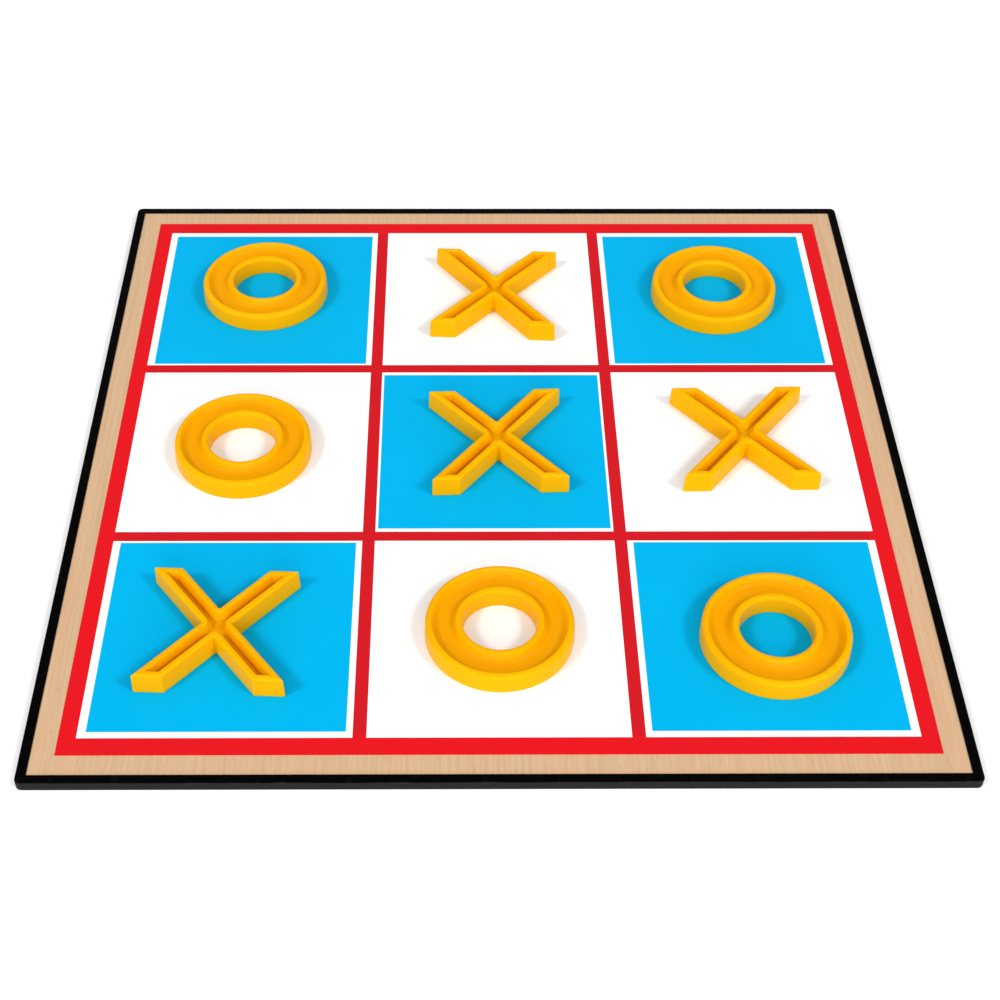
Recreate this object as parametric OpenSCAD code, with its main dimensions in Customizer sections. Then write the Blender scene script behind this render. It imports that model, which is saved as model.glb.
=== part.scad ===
// Tic tac toe set: a flat square game board with nine moulded counters lying on its cells.
// Millimetres, +Z up, origin under the middle of the board, front edge towards -Y.

/* [Board] */
// Width and depth of the square board
board_w = 305; // [254:1:356]
// Thickness of the board over its edge trim
board_t = 3.6; // [3:0.1:6]
// Radius of the board's outer corners
corner_r = 2; // [1.5:0.1:5]
// Width of each black trim lip, seen from above
trim_lip_w = 3.4; // [2.5:0.1:5]
// Thickness of each trim lip
trim_lip_t = 0.4; // [0.3:0.05:0.6]
// Thickness of the trim's upright web
trim_web_t = 0.8; // [0.5:0.1:1.5]
// Thickness of the laminate skin on each face of the core
laminate_t = 0.2; // [0.1:0.05:0.4]

/* [Printed sheet] */
// Width of the wood-grain border between the trim and the red grid
border_w = 7.7; // [4:0.1:12]
// Width of the red frame line at the left and right
frame_side_w = 5.8; // [3:0.1:9]
// Width of the red frame line at the front and back
frame_end_w = 6.7; // [3:0.1:9]
// Width of the red lines between cells
cell_line_w = 4.5; // [2:0.1:6]
// Width of the middle column of cells
middle_column_w = 85.3; // [84.5:0.1:90]
// Depth of the middle row of cells
middle_row_d = 86.7; // [84.5:0.1:90]
// Side of each blue square
blue_w = 83.6; // [70:0.1:84]
// How far a corner cell's blue square lies off its middle, towards the middle column
blue_shift_x = 0.3; // [0:0.1:1.5]
// How far a corner cell's blue square lies off its middle, towards the middle row
blue_shift_y = 0.8; // [0:0.1:1.5]
// Thickness of the printed sheet
print_t = 0.15; // [0.1:0.05:0.2]

/* [Counters] */
// Radius along the top edges of the rings and of the crosses' arms
counter_edge_r = 1.4; // [0.4:0.1:1.6]

/* [O counters] */
// Outer diameter
o_outer_d = 50.8; // [47:0.2:54]
// Diameter of the hole
o_hole_d = 25; // [22:0.2:28]
// Height
o_h = 7.4; // [5:0.1:10]
// Width of each rim
o_rim_w = 2.3; // [1.8:0.1:3]
// Depth of the round-bottomed channel between the rims
o_channel_depth = 2.8; // [1:0.1:3.6]

/* [X counters] */
// Width, along the board's front edge
x_w = 51.6; // [47:0.2:55]
// Depth, from the front ends to the back ends
x_d = 48.8; // [45:0.2:52]
// Height
x_h = 8.4; // [6:0.1:10]
// Width of each arm's flat end
x_arm_end_w = 11; // [9.5:0.1:12.5]
// Thickness of the walls around the trough, at the top
x_wall_t = 2.3; // [1.8:0.1:2.6]
// Depth of the trough
x_trough_depth = 3.6; // [1:0.1:5]
// Width of the trough's floor
x_trough_floor_w = 0.8; // [0.4:0.1:1.8]

/* [Hidden] */
$fn = 96;

// A trim strip: node name, turn from the front edge
TRIM_SIDES = [
    ["edge_trim_front", 0],
    ["edge_trim_right", 90],
    ["edge_trim_back", 180],
    ["edge_trim_left", 270]
];

// An O: node name, column and row of its cell, how far it lies off the cell's middle
O_TOKENS = [
    ["o_token_back_left", [-1, 1], [-0.8, 2.9]],
    ["o_token_back_right", [1, 1], [1.1, 0.5]],
    ["o_token_middle_left", [-1, 0], [-1.8, -1.4]],
    ["o_token_front_center", [0, -1], [0.9, 0.1]],
    ["o_token_front_right", [1, -1], [2.3, -3.2]]
];

// An X: node name, column and row of its cell, how far it lies off the cell's middle, turn
X_TOKENS = [
    ["x_token_back_center", [0, 1], [2.2, -3.1], -3],
    ["x_token_center", [0, 0], [1.8, 0], 2],
    ["x_token_middle_right", [1, 0], [2.8, 1.5], 1],
    ["x_token_front_left", [-1, -1], [-2.4, -1.5], -2.5]
];

// Cells with a blue square on them: the four corners and the middle
BLUE_CELLS = [[-1, -1], [1, -1], [0, 0], [-1, 1], [1, 1]];
// Columns, or rows, of the grid
STEPS = [-1, 0, 1];

// How far a cutting shape runs past the face that it cuts
past = 1;

// The panel fills the trim's channel, from one lip to the other
panel_w = board_w - 2 * trim_web_t;
panel_r = corner_r - trim_web_t;
panel_bottom = trim_lip_t;
panel_top = board_t - trim_lip_t;
core_t = panel_top - panel_bottom - 2 * laminate_t;
play_surface = panel_top + print_t;

grid_w = board_w - 2 * (trim_lip_w + border_w);
outer_column_w = (grid_w - middle_column_w) / 2 - frame_side_w - cell_line_w;
outer_row_d = (grid_w - middle_row_d) / 2 - frame_end_w - cell_line_w;
// From the middle of the board to the middle of an outer column, and of an outer row
column_pitch = (middle_column_w + outer_column_w) / 2 + cell_line_w;
row_pitch = (middle_row_d + outer_row_d) / 2 + cell_line_w;

o_hole_r = o_hole_d / 2;
o_bar_w = (o_outer_d - o_hole_d) / 2;
o_channel_w = o_bar_w - 2 * o_rim_w;
// Radius of the arc through the channel's two edges and its deepest point
o_channel_r = (o_channel_w * o_channel_w / 4 + o_channel_depth * o_channel_depth) / (2 * o_channel_depth);

// Sideways run of an arm's middle line, from its front end to its back end
x_run = x_w - x_arm_end_w;
x_arm_length = norm([x_run, x_d]);
x_arm_angle = atan2(x_d, x_run);
// Width of an arm across its own direction
x_arm_w = x_arm_end_w * x_d / x_arm_length;

wood = "#DCB78E";
fibre_brown = "#A98A66";
backing = "#CDBB9E";
red = "#F01B25";
white = "#FCFCFC";
blue = "#00BBF6";
trim_black = "#141214";
counter_yellow = "#FAC300";

// A square with true round corners
module rounded_square(width, radius) {
    straight = width - 2 * radius;
    square([width, straight], center = true);
    square([straight, width], center = true);
    for (x = [-1, 1], y = [-1, 1]) {
        translate([x, y] * straight / 2) circle(radius);
    }
}

module panel_sheet(bottom, thickness) {
    translate([0, 0, bottom]) linear_extrude(thickness) rounded_square(panel_w, panel_r);
}

module mdf_core() {
    color(fibre_brown) panel_sheet(panel_bottom + laminate_t, core_t);
}

module wood_grain_laminate() {
    color(wood) panel_sheet(panel_top - laminate_t, laminate_t);
}

module backing_laminate() {
    color(backing) panel_sheet(panel_bottom, laminate_t);
}

// Middle of a cell, from its column and row
function cell_middle(cell) = [cell.x * column_pitch, cell.y * row_pitch];

// Width and depth of a cell
function cell_size(cell) = [
    cell.x == 0 ? middle_column_w : outer_column_w,
    cell.y == 0 ? middle_row_d : outer_row_d
];

module cell_prints() {
    for (column = STEPS, row = STEPS) {
        cell = [column, row];
        translate(cell_middle(cell)) square(cell_size(cell), center = true);
    }
}

module blue_squares() {
    for (cell = BLUE_CELLS) {
        shift = [cell.x * blue_shift_x, cell.y * blue_shift_y];
        translate(cell_middle(cell) - shift) square(blue_w, center = true);
    }
}

// The three inks lie side by side in one printed sheet, so all have its thickness
module ink() {
    translate([0, 0, panel_top]) linear_extrude(print_t) children();
}

module red_grid_print() {
    color(red) ink() difference() {
        square(grid_w, center = true);
        cell_prints();
    }
}

module white_cell_prints() {
    color(white) ink() difference() {
        cell_prints();
        blue_squares();
    }
}

module blue_square_prints() {
    color(blue) ink() blue_squares();
}

// The channel that wraps the whole edge, before it is cut at the mitres
module edge_channel() {
    difference() {
        linear_extrude(board_t) rounded_square(board_w, corner_r);
        translate([0, 0, panel_bottom]) {
            linear_extrude(panel_top - panel_bottom) rounded_square(panel_w, panel_r);
        }
        translate([0, 0, -past]) linear_extrude(board_t + 2 * past) {
            square(board_w - 2 * trim_lip_w, center = true);
        }
    }
}

// One strip of the channel, with mitred ends
module edge_trim(turn) {
    reach = board_w / 2 + past;
    color(trim_black) intersection() {
        edge_channel();
        rotate(turn) translate([0, 0, -past]) linear_extrude(board_t + 2 * past) {
            polygon([[0, 0], [-reach, -reach], [reach, -reach]]);
        }
    }
}

// A counter's solid section before it is hollowed: a bar with two round top corners
module bar_section(width, height) {
    inner_w = width - 2 * counter_edge_r;
    square([width, height - counter_edge_r]);
    translate([counter_edge_r, 0]) square([inner_w, height]);
    for (x = [counter_edge_r, width - counter_edge_r]) {
        translate([x, height - counter_edge_r]) circle(counter_edge_r);
    }
}

// Half of the ring's section: two rims with a round-bottomed channel between them
module o_section() {
    translate([o_hole_r, 0]) difference() {
        bar_section(o_bar_w, o_h);
        translate([o_bar_w / 2, o_h - o_channel_depth + o_channel_r]) circle(o_channel_r);
    }
}

// Puts a counter on its cell
module on_board(cell, offset, turn = 0) {
    place = cell_middle(cell) + offset;
    translate([place.x, place.y, play_surface]) rotate(turn) children();
}

module o_token(cell, offset) {
    color(counter_yellow) on_board(cell, offset) rotate_extrude() o_section();
}

// The section of the trough, which narrows towards its floor
module trough_section() {
    top_w = x_arm_w - 2 * x_wall_t;
    widening = (top_w - x_trough_floor_w) * past / x_trough_depth;
    polygon([
        [-x_trough_floor_w / 2, x_h - x_trough_depth],
        [x_trough_floor_w / 2, x_h - x_trough_depth],
        [(top_w + widening) / 2, x_h + past],
        [-(top_w + widening) / 2, x_h + past]
    ]);
}

// Sweeps a section along both arms of an X, and cuts the ends off straight
module crossed_arms(depth) {
    for (flip = [0, 1]) {
        mirror([flip, 0, 0]) intersection() {
            rotate(x_arm_angle) rotate([90, 0, 90]) {
                linear_extrude(x_arm_length + 2 * x_arm_w, center = true) children();
            }
            translate([-x_w, -depth / 2, -past]) cube([2 * x_w, depth, x_h + 3 * past]);
        }
    }
}

module x_token(cell, offset, turn) {
    color(counter_yellow) on_board(cell, offset, turn) difference() {
        crossed_arms(x_d) translate([-x_arm_w / 2, 0]) bar_section(x_arm_w, x_h);
        crossed_arms(x_d - 2 * x_wall_t) trough_section();
    }
}

mdf_core();
wood_grain_laminate();
backing_laminate();
red_grid_print();
white_cell_prints();
blue_square_prints();
for (side = TRIM_SIDES) {
    edge_trim(side[1]);
}
for (token = O_TOKENS) {
    o_token(token[1], token[2]);
}
for (token = X_TOKENS) {
    x_token(token[1], token[2], token[3]);
}
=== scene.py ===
"""Tic tac toe set: the finished surfaces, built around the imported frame.

Metres, +Z up, board centred on the origin, front edge towards -Y.
"""
import math

import bpy
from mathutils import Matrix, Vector


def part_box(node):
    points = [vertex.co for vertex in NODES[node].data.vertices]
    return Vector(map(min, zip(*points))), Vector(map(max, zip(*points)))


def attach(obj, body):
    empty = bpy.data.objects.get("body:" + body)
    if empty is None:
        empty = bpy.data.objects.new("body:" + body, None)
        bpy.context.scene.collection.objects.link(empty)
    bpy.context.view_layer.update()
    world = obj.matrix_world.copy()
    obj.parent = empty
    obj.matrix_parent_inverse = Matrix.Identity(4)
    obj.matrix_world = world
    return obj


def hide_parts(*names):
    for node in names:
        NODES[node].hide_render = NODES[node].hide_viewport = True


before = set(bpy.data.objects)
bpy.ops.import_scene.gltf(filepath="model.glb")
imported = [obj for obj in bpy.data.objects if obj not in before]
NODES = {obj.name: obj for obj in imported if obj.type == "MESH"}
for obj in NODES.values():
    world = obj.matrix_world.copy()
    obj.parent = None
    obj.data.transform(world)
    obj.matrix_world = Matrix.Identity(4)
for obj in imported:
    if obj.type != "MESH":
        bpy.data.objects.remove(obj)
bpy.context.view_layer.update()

MM = 0.001
BOARD = "board"
O_TOKENS = [name for name in NODES if name.startswith("o_token_")]
X_TOKENS = [name for name in NODES if name.startswith("x_token_")]

# The board's own sizes, read from the frame
board_low, board_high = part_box("edge_trim_front")
BOARD_HALF = -board_low.y
BOARD_TOP = board_high.z
TRIM_LIP = board_high.y - board_low.y
PANEL_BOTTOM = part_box("backing_laminate")[0].z
PANEL_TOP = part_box("wood_grain_laminate")[1].z
# The cells fill this half width and half depth, and the grid's red frame runs round them
cells_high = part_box("white_cell_prints")[1]
CELLS_HALF_X = cells_high.x
CELLS_HALF_Y = cells_high.y

# The studio light is brighter than full white, so printed colours are scaled by this to show as written
LIGHT = 0.77
# White ink is scaled less, so that only the deepest shadows show on it
WHITE = 0.88


# ---------------------------------------------------------------- mesh tools

def fillet(corners, steps, closed=True):
    """An outline with an arc at each (x, y, radius, mark) corner, except at an open outline's two ends.

    Returns (x, y, mark) points, and mark fades to 0 at the ends of its arc.
    """
    points = []
    count = len(corners)
    for i, (x, y, radius, mark) in enumerate(corners):
        if not closed and i in (0, count - 1):
            points.append((x, y, mark))
            continue
        here = Vector((x, y))
        back = (Vector(corners[i - 1][:2]) - here).normalized()
        ahead = (Vector(corners[(i + 1) % count][:2]) - here).normalized()
        half_angle = back.angle(ahead) / 2
        middle = here + (back + ahead).normalized() * radius / math.sin(half_angle)
        start = here + back * radius / math.tan(half_angle) - middle
        end = here + ahead * radius / math.tan(half_angle) - middle
        sweep = start.angle_signed(end)
        for step in range(steps + 1):
            share = step / steps
            turn = -sweep * share
            spoke = Vector((
                start.x * math.cos(turn) - start.y * math.sin(turn),
                start.x * math.sin(turn) + start.y * math.cos(turn),
            ))
            spot = middle + spoke
            points.append((spot.x, spot.y, mark * math.sin(math.pi * share)))
    return points


# How firmly the large faces set the shading at the rounded edges between them
FACE_WEIGHT = 80


def make_piece(name, verts, faces, marks, material, body, node):
    """One closed piece that stands for a CAD node. marks holds named numbers for each point."""
    mesh = bpy.data.meshes.new(name)
    mesh.from_pydata(verts, [], faces)
    mesh.update()
    for label, values in marks.items():
        attribute = mesh.attributes.new(label, "FLOAT", "POINT")
        attribute.data.foreach_set("value", values)
    mesh.polygons.foreach_set("use_smooth", [True] * len(mesh.polygons))
    piece = bpy.data.objects.new(name, mesh)
    bpy.context.scene.collection.objects.link(piece)
    mesh.materials.append(material)
    even = piece.modifiers.new("flat_faces_stay_flat", "WEIGHTED_NORMAL")
    even.weight = FACE_WEIGHT
    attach(piece, body)
    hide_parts(node)
    return piece


def loft(rings, closed_path):
    """Faces between closed rings of equal length. Open ends of the path get a flat cap."""
    size = len(rings[0])
    verts = [point for ring in rings for point in ring]
    faces = []
    ring_pairs = len(rings) if closed_path else len(rings) - 1
    for i in range(ring_pairs):
        first = i * size
        second = (i + 1) % len(rings) * size
        for j in range(size):
            k = (j + 1) % size
            faces.append((first + j, second + j, second + k, first + k))
    if not closed_path:
        faces.append(tuple(range(size)))
        last = (len(rings) - 1) * size
        faces.append(tuple(reversed(range(last, last + size))))
    return verts, faces


# ---------------------------------------------------------------- materials

# The Mix node's colour sockets, which share their names with its other sockets
MIX_A, MIX_B, MIX_RESULT = 6, 7, 2


class Surface:
    """A material with one Principled shader, built up from a few procedural layers."""

    def __init__(self, name):
        self.material = bpy.data.materials.new(name)
        self.material.use_nodes = True
        self.tree = self.material.node_tree
        self.shader = self.tree.nodes["Principled BSDF"]
        self.place = self.add("ShaderNodeTexCoord").outputs["Object"]

    def add(self, kind, **values):
        node = self.tree.nodes.new(kind)
        for key, value in values.items():
            setattr(node, key, value)
        return node

    def feed(self, socket, value):
        if isinstance(value, bpy.types.NodeSocket):
            self.tree.links.new(value, socket)
        else:
            socket.default_value = value

    def set(self, **values):
        """Plain numbers and colours, set on the shader's own sockets."""
        for key, value in values.items():
            self.shader.inputs[key.replace("_", " ")].default_value = value

    def noise(self, scale, detail=3.0, roughness=0.55, stretch=(1, 1, 1), shift=(0, 0, 0)):
        """Soft noise from 0 to 1. scale counts features in a metre, and stretch lengthens them."""
        mapping = self.add("ShaderNodeMapping")
        self.feed(mapping.inputs["Vector"], self.place)
        self.feed(mapping.inputs["Scale"], [1 / s for s in stretch])
        self.feed(mapping.inputs["Location"], shift)
        texture = self.add("ShaderNodeTexNoise")
        self.feed(texture.inputs["Vector"], mapping.outputs["Vector"])
        self.feed(texture.inputs["Scale"], scale)
        self.feed(texture.inputs["Detail"], detail)
        self.feed(texture.inputs["Roughness"], roughness)
        return texture.outputs["Fac"]

    def mark(self, label):
        return self.add("ShaderNodeAttribute", attribute_name=label).outputs["Fac"]

    def remap(self, value, low, high, out_low, out_high):
        node = self.add("ShaderNodeMapRange")
        self.feed(node.inputs["Value"], value)
        self.feed(node.inputs["From Min"], low)
        self.feed(node.inputs["From Max"], high)
        self.feed(node.inputs["To Min"], out_low)
        self.feed(node.inputs["To Max"], out_high)
        return node.outputs["Result"]

    def math(self, operation, a, b):
        node = self.add("ShaderNodeMath", operation=operation)
        self.feed(node.inputs[0], a)
        self.feed(node.inputs[1], b)
        return node.outputs["Value"]

    def reach(self, half_x, half_y):
        """0 at the middle of the board, and 1 on the sides of a rectangle with these half sizes."""
        axes = self.add("ShaderNodeSeparateXYZ")
        self.feed(axes.inputs["Vector"], self.place)
        across = self.math("ABSOLUTE", self.math("DIVIDE", axes.outputs["X"], half_x), 0)
        along = self.math("ABSOLUTE", self.math("DIVIDE", axes.outputs["Y"], half_y), 0)
        return self.math("MAXIMUM", across, along)

    def blend(self, share, a, b):
        node = self.add("ShaderNodeMix", data_type="RGBA")
        self.feed(node.inputs["Factor"], share)
        self.feed(node.inputs[MIX_A], a)
        self.feed(node.inputs[MIX_B], b)
        return node.outputs[MIX_RESULT]

    def colour(self, value):
        self.feed(self.shader.inputs["Base Color"], value)

    def roughness(self, value):
        self.feed(self.shader.inputs["Roughness"], value)

    def bump(self, height, strength, distance):
        node = self.add("ShaderNodeBump")
        self.feed(node.inputs["Strength"], strength)
        self.feed(node.inputs["Distance"], distance)
        self.feed(node.inputs["Height"], height)
        self.feed(self.shader.inputs["Normal"], node.outputs["Normal"])


def rgb(hex_colour, level=1.0):
    """A linear colour from an sRGB hex code."""
    channels = []
    for i in (0, 2, 4):
        c = int(hex_colour[i:i + 2], 16) / 255
        linear = c / 12.92 if c <= 0.04045 else ((c + 0.055) / 1.055) ** 2.4
        channels.append(linear * level)
    return (*channels, 1.0)


def ink(name, colour, deep, lines=None):
    """Printed ink on a smooth sheet: faint cloudiness, a fine grain and a satin surface.

    lines is the colour between the cells, where it isn't the same as in the grid's frame.
    """
    s = Surface(name)
    clouds = s.remap(s.noise(22, detail=2), 0.3, 0.7, 0.0, 0.6)
    grain = s.remap(s.noise(1400, detail=2), 0.25, 0.75, 0.0, 0.4)
    printed = s.blend(s.math("ADD", clouds, grain), colour, deep)
    if lines:
        # Even as far as the outermost cells, then gone by the frame
        between = s.remap(s.reach(CELLS_HALF_X, CELLS_HALF_Y), 0.985, 1.0, 0.75, 0.0)
        printed = s.blend(between, printed, lines)
    s.colour(printed)
    s.roughness(s.remap(s.noise(60, detail=4), 0.3, 0.7, 0.36, 0.48))
    s.bump(s.noise(2200, detail=2), 0.1, 0.00001)
    s.set(Specular_IOR_Level=0.03)
    return s.material


def wood_laminate():
    """Pale wood print whose grain runs from the front edge to the back edge."""
    s = Surface("wood_grain_laminate")
    along = (1, 45, 1)
    bands = s.remap(s.noise(260, detail=3, stretch=along), 0.32, 0.68, 0.0, 1.0)
    warm = s.blend(bands, rgb("E1B18A", LIGHT), rgb("D5B089", LIGHT))
    fibres = s.remap(s.noise(900, detail=5, roughness=0.65, stretch=along), 0.35, 0.7, 0.0, 0.75)
    fibred = s.blend(fibres, warm, rgb("E8C8A0", LIGHT))
    pores = s.noise(2600, detail=2, stretch=(1, 14, 1), shift=(0.3, 0.1, 0))
    s.colour(s.blend(s.remap(pores, 0.62, 0.74, 0.0, 0.45), fibred, rgb("B58E62", LIGHT)))
    s.roughness(s.remap(fibres, 0.0, 0.75, 0.4, 0.52))
    s.bump(s.noise(1500, detail=4, stretch=(1, 30, 1)), 0.3, 0.00002)
    s.set(Specular_IOR_Level=0.1)
    return s.material


def backing():
    s = Surface("backing_laminate")
    clouds = s.remap(s.noise(35, detail=4), 0.3, 0.7, 0.0, 1.0)
    speckle = s.remap(s.noise(1800, detail=3), 0.55, 0.75, 0.0, 0.5)
    base = s.blend(clouds, rgb("D2C0A2"), rgb("C4B090"))
    s.colour(s.blend(speckle, base, rgb("A48C68")))
    s.roughness(s.remap(s.noise(90), 0.3, 0.7, 0.5, 0.65))
    s.bump(s.noise(1200, detail=3), 0.1, 0.00005)
    return s.material


def fibre_board():
    s = Surface("mdf_core")
    fibres = s.noise(1600, detail=5, roughness=0.7, stretch=(3, 3, 1))
    s.colour(s.blend(s.remap(fibres, 0.35, 0.65, 0.0, 1.0), rgb("B3936C"), rgb("8F7350")))
    s.roughness(s.remap(fibres, 0.3, 0.7, 0.7, 0.9))
    s.bump(fibres, 0.3, 0.0001)
    return s.material


def black_trim(name, stretch):
    """Extruded black plastic: faint draw lines, an outer face painted greyer as a painted reflection of the
    pale floor, and lightly rubbed edges.
    """
    s = Surface(name)
    lines = s.noise(1500, detail=3, stretch=stretch)
    dust = s.remap(s.noise(420, detail=4), 0.55, 0.8, 0.0, 0.35)
    # Painted reflection: the outer face is painted greyer, as if it caught the pale floor
    painted_reflection_face = s.blend(s.mark("outer_face_painted_reflection"), rgb("020202"), rgb("1F1F1F"))
    rubbed = s.math("MULTIPLY", s.mark("edge"), s.remap(s.noise(160, detail=5), 0.45, 0.7, 0.1, 0.8))
    worn = s.blend(rubbed, painted_reflection_face, rgb("2E2C2C"))
    s.colour(s.blend(s.math("MULTIPLY", dust, 0.2), worn, rgb("403E3C")))
    s.roughness(s.remap(lines, 0.3, 0.7, 0.34, 0.5))
    s.bump(lines, 0.3, 0.00001)
    s.set(Specular_IOR_Level=0.02)
    return s.material


def yellow_plastic():
    """Glossy moulded plastic, with painted shade making it more orange down in the channels and a painted
    highlight making it a touch paler along the rims.
    """
    s = Surface("yellow_plastic")
    flow = s.remap(s.noise(70, detail=4), 0.3, 0.7, 0.0, 1.0)
    body = s.blend(flow, rgb("E8A700"), rgb("E5A300"))
    # Painted shade: a deeper orange where the hollow mark says a point lies down in a channel or trough
    channel_painted_shade = s.blend(s.mark("hollow"), body, rgb("DC8E00"))
    # Painted highlight: a touch paler along the rims, patchy with noise
    painted_rim_highlight = s.math("MULTIPLY", s.mark("edge"), s.remap(s.noise(300, detail=3), 0.3, 0.7, 0.1, 0.4))
    s.colour(s.blend(painted_rim_highlight, channel_painted_shade, rgb("EAA900")))
    s.roughness(s.remap(s.noise(240, detail=5, roughness=0.65), 0.3, 0.72, 0.26, 0.4))
    s.bump(s.noise(500, detail=3), 0.2, 0.00002)
    s.set(Specular_IOR_Level=0.04, Subsurface_Weight=0.5, Subsurface_Scale=0.003)
    s.shader.inputs["Subsurface Radius"].default_value = (1.0, 0.5, 0.05)
    return s.material


def pale_floor():
    s = Surface("pale_floor")
    s.colour(s.blend(s.remap(s.noise(4, detail=2), 0.3, 0.7, 0.0, 1.0), rgb("FDFDFD"), rgb("FFFFFF")))
    s.roughness(s.remap(s.noise(8), 0.3, 0.7, 0.75, 0.85))
    s.set(Specular_IOR_Level=0.1)
    return s.material


# ---------------------------------------------------------------- the board

def paint(node, material):
    for holder in NODES[node].material_slots:
        holder.material = material


paint("mdf_core", fibre_board())
paint("wood_grain_laminate", wood_laminate())
paint("backing_laminate", backing())
paint("red_grid_print", ink(
    "red_ink", rgb("F4171E", LIGHT), rgb("E81B26", LIGHT), lines=rgb("D31E28", LIGHT)
))
paint("white_cell_prints", ink("white_ink", rgb("FFFFFF", WHITE), rgb("FCFCFC", WHITE)))
paint("blue_square_prints", ink("blue_ink", rgb("00BFFA", LIGHT), rgb("00B9F4", LIGHT)))

# Radius of the board's corners, seen from above
CORNER_R = 2 * MM
# Thickness of the trim outside the panel
WEB = 0.8 * MM
TRIM_OUTER_R = 0.3 * MM
TRIM_LIP_R = 0.12 * MM
TRIM_INSIDE_R = 0.05 * MM
TRIM_ARC_STEPS = 5
# A point of the section no further in than this belongs to the outer face, which is painted greyer as a
# painted reflection
OUTER_FACE_DEPTH = 0.1 * MM
# How far each strip's end stands back from the mitre
MITRE_GAP = 0.04 * MM
# Sections between the straight stretch and each mitre
MITRE_STATIONS = 14


def trim_section():
    """The channel's section as (distance in from the outer edge, height, mark), clockwise from below."""
    return fillet([
        (0, 0, TRIM_OUTER_R, 1),
        (0, BOARD_TOP, TRIM_OUTER_R, 1),
        (TRIM_LIP, BOARD_TOP, TRIM_LIP_R, 1),
        (TRIM_LIP, PANEL_TOP, TRIM_INSIDE_R, 0),
        (WEB, PANEL_TOP, TRIM_INSIDE_R, 0),
        (WEB, PANEL_BOTTOM, TRIM_INSIDE_R, 0),
        (TRIM_LIP, PANEL_BOTTOM, TRIM_INSIDE_R, 0),
        (TRIM_LIP, 0, TRIM_LIP_R, 1),
    ], TRIM_ARC_STEPS)


def edge_point(inset, share):
    """A point near the front edge's right end: share 0 is on the straight, and 1 is at the mitre."""
    start = BOARD_HALF - 2 * TRIM_LIP
    radius = max(CORNER_R - inset, 0.0)
    if radius == 0:
        corner = BOARD_HALF - inset - MITRE_GAP
        return (start + (corner - start) * share, -(BOARD_HALF - inset))
    centre = BOARD_HALF - CORNER_R
    straight = centre - start
    mitre_angle = math.pi / 4
    travelled = (straight + radius * mitre_angle) * share
    if travelled <= straight:
        return (start + travelled, -(BOARD_HALF - inset))
    angle = (travelled - straight) / radius
    slack = MITRE_GAP * angle / mitre_angle
    return (centre + radius * math.sin(angle) - slack, -(centre + radius * math.cos(angle)))


def trim_piece(node, turn, material):
    section = trim_section()
    shares = [i / MITRE_STATIONS for i in range(MITRE_STATIONS + 1)]
    stations = [(-1, s) for s in reversed(shares)] + [(1, s) for s in shares]
    cos, sin = math.cos(turn), math.sin(turn)
    rings = []
    for side, share in stations:
        ring = []
        for inset, height, _ in section:
            x, y = edge_point(inset, share)
            x = x * side
            ring.append((x * cos - y * sin, x * sin + y * cos, height))
        rings.append(ring)
    verts, faces = loft(rings, closed_path=False)
    # The outer face mark places the painted reflection
    marks = {
        "edge": [mark for _ in rings for _, _, mark in section],
        "outer_face_painted_reflection": [1.0 if inset < OUTER_FACE_DEPTH else 0.0 for _ in rings for inset, _, _ in section],
    }
    make_piece(node + "_strip", verts, faces, marks, material, BOARD, node)


trim_along_x = black_trim("black_trim_along_x", (40, 1, 1))
trim_along_y = black_trim("black_trim_along_y", (1, 40, 1))
trim_piece("edge_trim_front", 0, trim_along_x)
trim_piece("edge_trim_right", math.pi / 2, trim_along_y)
trim_piece("edge_trim_back", math.pi, trim_along_x)
trim_piece("edge_trim_left", -math.pi / 2, trim_along_y)


# ---------------------------------------------------------------- the counters

yellow = yellow_plastic()
# Sections round an O
SEGMENTS = 160
# Steps in each rounded edge of a section
ARC_STEPS = 6
# Radius of the edges round each counter's underside
BASE_R = 0.35 * MM
# Radius where a rim turns down into its channel or trough
LIP_R = 0.4 * MM
# How far each outside wall leans in on its way up
LEAN = 0.3 * MM


def painted_shade_marks(section, height, channel_depth, shade_strength, inside):
    """Painted shade for each point of a channel, by how closed in it is: the full strength on its floor,
    fading to 0 at the rims.
    """
    return [
        shade_strength * max(0.0, min(1.0, (height - z) / channel_depth)) if inside(along) else 0.0
        for along, z, _ in section
    ]


O_HOLE_R = 12.5 * MM
O_RIM = 2.3 * MM
O_OUTER_EDGE_R = 1.6 * MM
O_INNER_EDGE_R = 1.2 * MM
O_CHANNEL_DEPTH = 2.8 * MM
# The channel's walls slope in by this much, and meet its floor in a wide arc
O_CHANNEL_SLOPE = 1.6 * MM
O_CHANNEL_R = 2.2 * MM
# How strongly the channel's floor is painted in shade
O_CHANNEL_PAINTED_SHADE = 0.45


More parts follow.
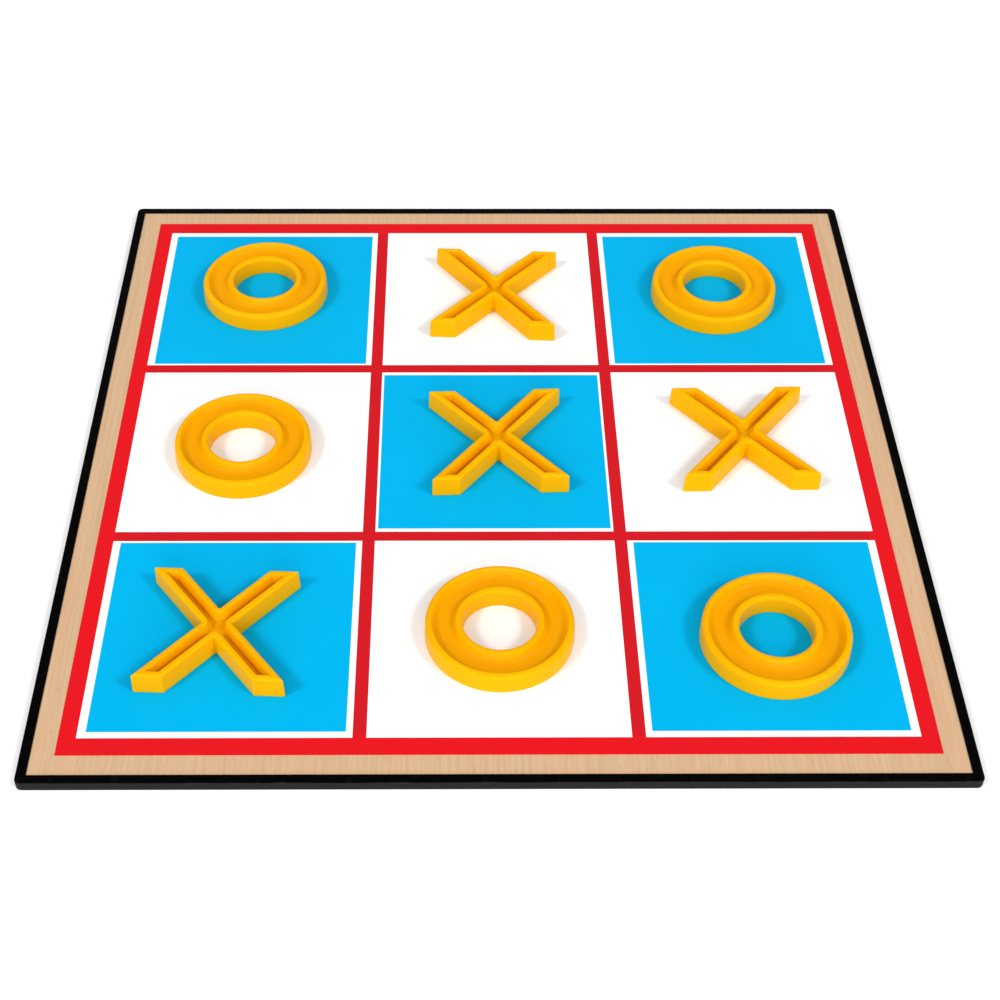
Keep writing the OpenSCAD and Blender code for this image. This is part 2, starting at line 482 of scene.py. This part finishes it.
def o_token(node):
    low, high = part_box(node)
    centre = (low + high) / 2
    outer = (high.x - low.x) / 2
    height = high.z - low.z
    outer_wall = outer - O_RIM
    inner_wall = O_HOLE_R + O_RIM
    floor_z = height - O_CHANNEL_DEPTH
    section = fillet([
        (O_HOLE_R, 0, BASE_R, 0),
        (outer, 0, BASE_R, 0),
        (outer - LEAN, height, O_OUTER_EDGE_R, 1),
        (outer_wall, height, LIP_R, 1),
        (outer_wall - O_CHANNEL_SLOPE, floor_z, O_CHANNEL_R, 0),
        (inner_wall + O_CHANNEL_SLOPE, floor_z, O_CHANNEL_R, 0),
        (inner_wall, height, LIP_R, 1),
        (O_HOLE_R + LEAN / 2, height, O_INNER_EDGE_R, 1),
    ], ARC_STEPS)
    rings = []
    for i in range(SEGMENTS):
        turn = 2 * math.pi * i / SEGMENTS
        cos, sin = math.cos(turn), math.sin(turn)
        rings.append([(centre.x + r * cos, centre.y + r * sin, low.z + z) for r, z, _ in section])
    verts, faces = loft(rings, closed_path=True)
    # Painted shade down in the channel, carried by the hollow mark
    deep = painted_shade_marks(
        section, height, O_CHANNEL_DEPTH, O_CHANNEL_PAINTED_SHADE, lambda r: inner_wall < r < outer_wall
    )
    marks = {
        "edge": [mark for _ in rings for _, _, mark in section],
        "hollow": deep * len(rings),
    }
    make_piece(node + "_moulding", verts, faces, marks, yellow, node, node)


X_WIDTH = 51.6 * MM
X_LENGTH = 48.8 * MM
X_END = 11 * MM
X_WALL = 2.3 * MM
X_EDGE_R = 1.1 * MM
X_TROUGH_DEPTH = 3.6 * MM
X_TROUGH_SLOPE = 1.5 * MM
# How strongly the trough's floor is painted in shade
X_TROUGH_PAINTED_SHADE = 0.9
# Radius between the trough's walls and its narrow floor, and how far in the floor goes past its edge
X_FLOOR_R = 0.25 * MM
X_FLOOR_EDGE = 0.18 * MM
# Radius of the arms' end corners and of the four hollow corners, seen from above
X_END_CORNER_R = 0.6 * MM
X_HOLLOW_R = 0.15 * MM
X_TROUGH_CORNER_R = 0.15 * MM
X_CORNER_STEPS = 4
# Where the troughs cross, the painted shade is cut by this share, since more light gets in there, and the
# cut fades out over this much of each arm
X_CROSSING_SHADE_CUT = 0.9
X_CROSSING_REACH = 4 * MM
# The crossing's corners lie within this distance of the X's middle
X_CROSSING_R = 6.5 * MM
# How far each X is turned on its cell, in degrees
X_TURNS = {
    "x_token_back_center": -3,
    "x_token_center": 2,
    "x_token_middle_right": 1,
    "x_token_front_left": -2.5,
}


def cross_outline(inset):
    """The X's outline moved in by inset, as twelve corners from the front left end."""
    run = X_WIDTH - X_END
    slope = run / X_LENGTH
    half_end = X_END / 2 - inset * math.hypot(run, X_LENGTH) / X_LENGTH
    y = X_LENGTH / 2 - inset
    x = slope * y
    notch = half_end / slope
    return [
        (-x - half_end, -y), (-x + half_end, -y), (0, -notch),
        (x - half_end, -y), (x + half_end, -y), (half_end, 0),
        (x + half_end, y), (x - half_end, y), (0, notch),
        (-x + half_end, y), (-x - half_end, y), (-half_end, 0),
    ]


def x_ring(inset):
    """The rounded outline at an inset, with one more point near the crossing on each long side."""
    rounded = []
    for i, (x, y) in enumerate(cross_outline(inset)):
        hollow = i % 3 == 2
        end_radius = max(X_END_CORNER_R - inset, X_TROUGH_CORNER_R)
        rounded.append((x, y, X_HOLLOW_R + inset if hollow else end_radius, 0))
    corners = [Vector((x, y)) for x, y, _ in fillet(rounded, X_CORNER_STEPS)]
    ring = []
    for here, ahead in zip(corners, corners[1:] + corners[:1]):
        ring.append(here)
        side = (ahead - here).length
        if side > X_END:
            near, far = sorted((here, ahead), key=lambda corner: corner.length)
            ring.append(near.lerp(far, X_CROSSING_REACH / side))
    # Clockwise, so that the lofted faces look outwards
    return ring[::-1]


def x_token(node, turn):
    low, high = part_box(node)
    centre = (low + high) / 2
    height = high.z - low.z
    floor_z = height - X_TROUGH_DEPTH
    floor_inset = X_WALL + X_TROUGH_SLOPE
    # From the underside, up the outside, over the wall and down into the trough
    section = fillet([
        (floor_inset, 0, 0, 0),
        (0, 0, BASE_R, 0),
        (LEAN, height, X_EDGE_R, 1),
        (X_WALL, height, LIP_R, 1),
        (floor_inset, floor_z, X_FLOOR_R, 0),
        (floor_inset + X_FLOOR_EDGE, floor_z, 0, 0),
    ], ARC_STEPS, closed=False)
    cos, sin = math.cos(turn), math.sin(turn)
    # Painted shade down in the trough, carried by the hollow mark
    deep = painted_shade_marks(
        section, height, X_TROUGH_DEPTH, X_TROUGH_PAINTED_SHADE, lambda inset: inset > X_WALL
    )
    rings = []
    hollow = []
    for (inset, z, _), closed in zip(section, deep):
        ring = x_ring(inset)
        rings.append([
            (centre.x + x * cos - y * sin, centre.y + x * sin + y * cos, low.z + z)
            for x, y in ring
        ])
        # Less painted shade where the troughs cross
        hollow += [closed * (1 - X_CROSSING_SHADE_CUT if spot.length < X_CROSSING_R else 1) for spot in ring]
    verts, faces = loft(rings, closed_path=False)
    size = len(rings[0])
    marks = {
        "edge": [mark for _, _, mark in section for _ in range(size)],
        "hollow": hollow,
    }
    make_piece(node + "_moulding", verts, faces, marks, yellow, node, node)


for name in O_TOKENS:
    o_token(name)
for name in X_TOKENS:
    x_token(name, math.radians(X_TURNS[name]))


# ---------------------------------------------------------------- studio

# Half the floor's width
FLOOR_HALF = 3.0
WORLD_STRENGTH = 0.53
LAMP_DISTANCE = 5
# Each soft box's azimuth and elevation in degrees, width in metres and power in watts
SOFT_BOXES = {
    "left_soft_box": (-56, 45, 1.1, 105),
    "right_soft_box": (56, 45, 1.1, 105),
    "front_soft_box": (0, 16, 4, 160),
}
LENS = 61.8
SENSOR_WIDTH = 36
SHIFT_X = 0.0334
EYE_PLACE = (-0.0143, -0.4685, BOARD_TOP + 0.4438)
EYE_TURN = (44.81, -0.24, -0.33)


def floor():
    half = FLOOR_HALF
    corners = [(-half, -half, 0), (half, -half, 0), (half, half, 0), (-half, half, 0)]
    mesh = bpy.data.meshes.new("studio_floor")
    mesh.from_pydata(corners, [], [(0, 1, 2, 3)])
    ground = bpy.data.objects.new("studio_floor", mesh)
    bpy.context.scene.collection.objects.link(ground)
    mesh.materials.append(pale_floor())


def soft_box(name, azimuth, elevation, size, power):
    """An area light aimed at the board. Azimuth 0 is in front of it, and 90 to its right."""
    data = bpy.data.lights.new(name, "AREA")
    data.shape = "DISK"
    data.size = size
    data.energy = power
    lamp = bpy.data.objects.new(name, data)
    bpy.context.scene.collection.objects.link(lamp)
    a, e = math.radians(azimuth), math.radians(elevation)
    away = Vector((math.sin(a) * math.cos(e), -math.cos(a) * math.cos(e), math.sin(e)))
    lamp.location = away * LAMP_DISTANCE
    lamp.rotation_euler = away.to_track_quat("Z", "Y").to_euler()


def studio():
    world = bpy.data.worlds.new("studio_world")
    bpy.context.scene.world = world
    world.use_nodes = True
    sky = world.node_tree.nodes["Background"]
    sky.inputs["Color"].default_value = (1.0, 1.0, 1.0, 1.0)
    sky.inputs["Strength"].default_value = WORLD_STRENGTH
    for name, (azimuth, elevation, size, power) in SOFT_BOXES.items():
        soft_box(name, azimuth, elevation, size, power)
    bpy.context.scene.view_settings.view_transform = "Standard"


def camera():
    """Seen from in front, 45 degrees above the table."""
    data = bpy.data.cameras.new("camera")
    data.lens = LENS
    data.sensor_width = SENSOR_WIDTH
    data.shift_x = SHIFT_X
    data.clip_start = 0.01
    eye = bpy.data.objects.new("camera", data)
    bpy.context.scene.collection.objects.link(eye)
    eye.location = EYE_PLACE
    eye.rotation_euler = [math.radians(angle) for angle in EYE_TURN]
    bpy.context.scene.camera = eye


floor()
studio()
camera()
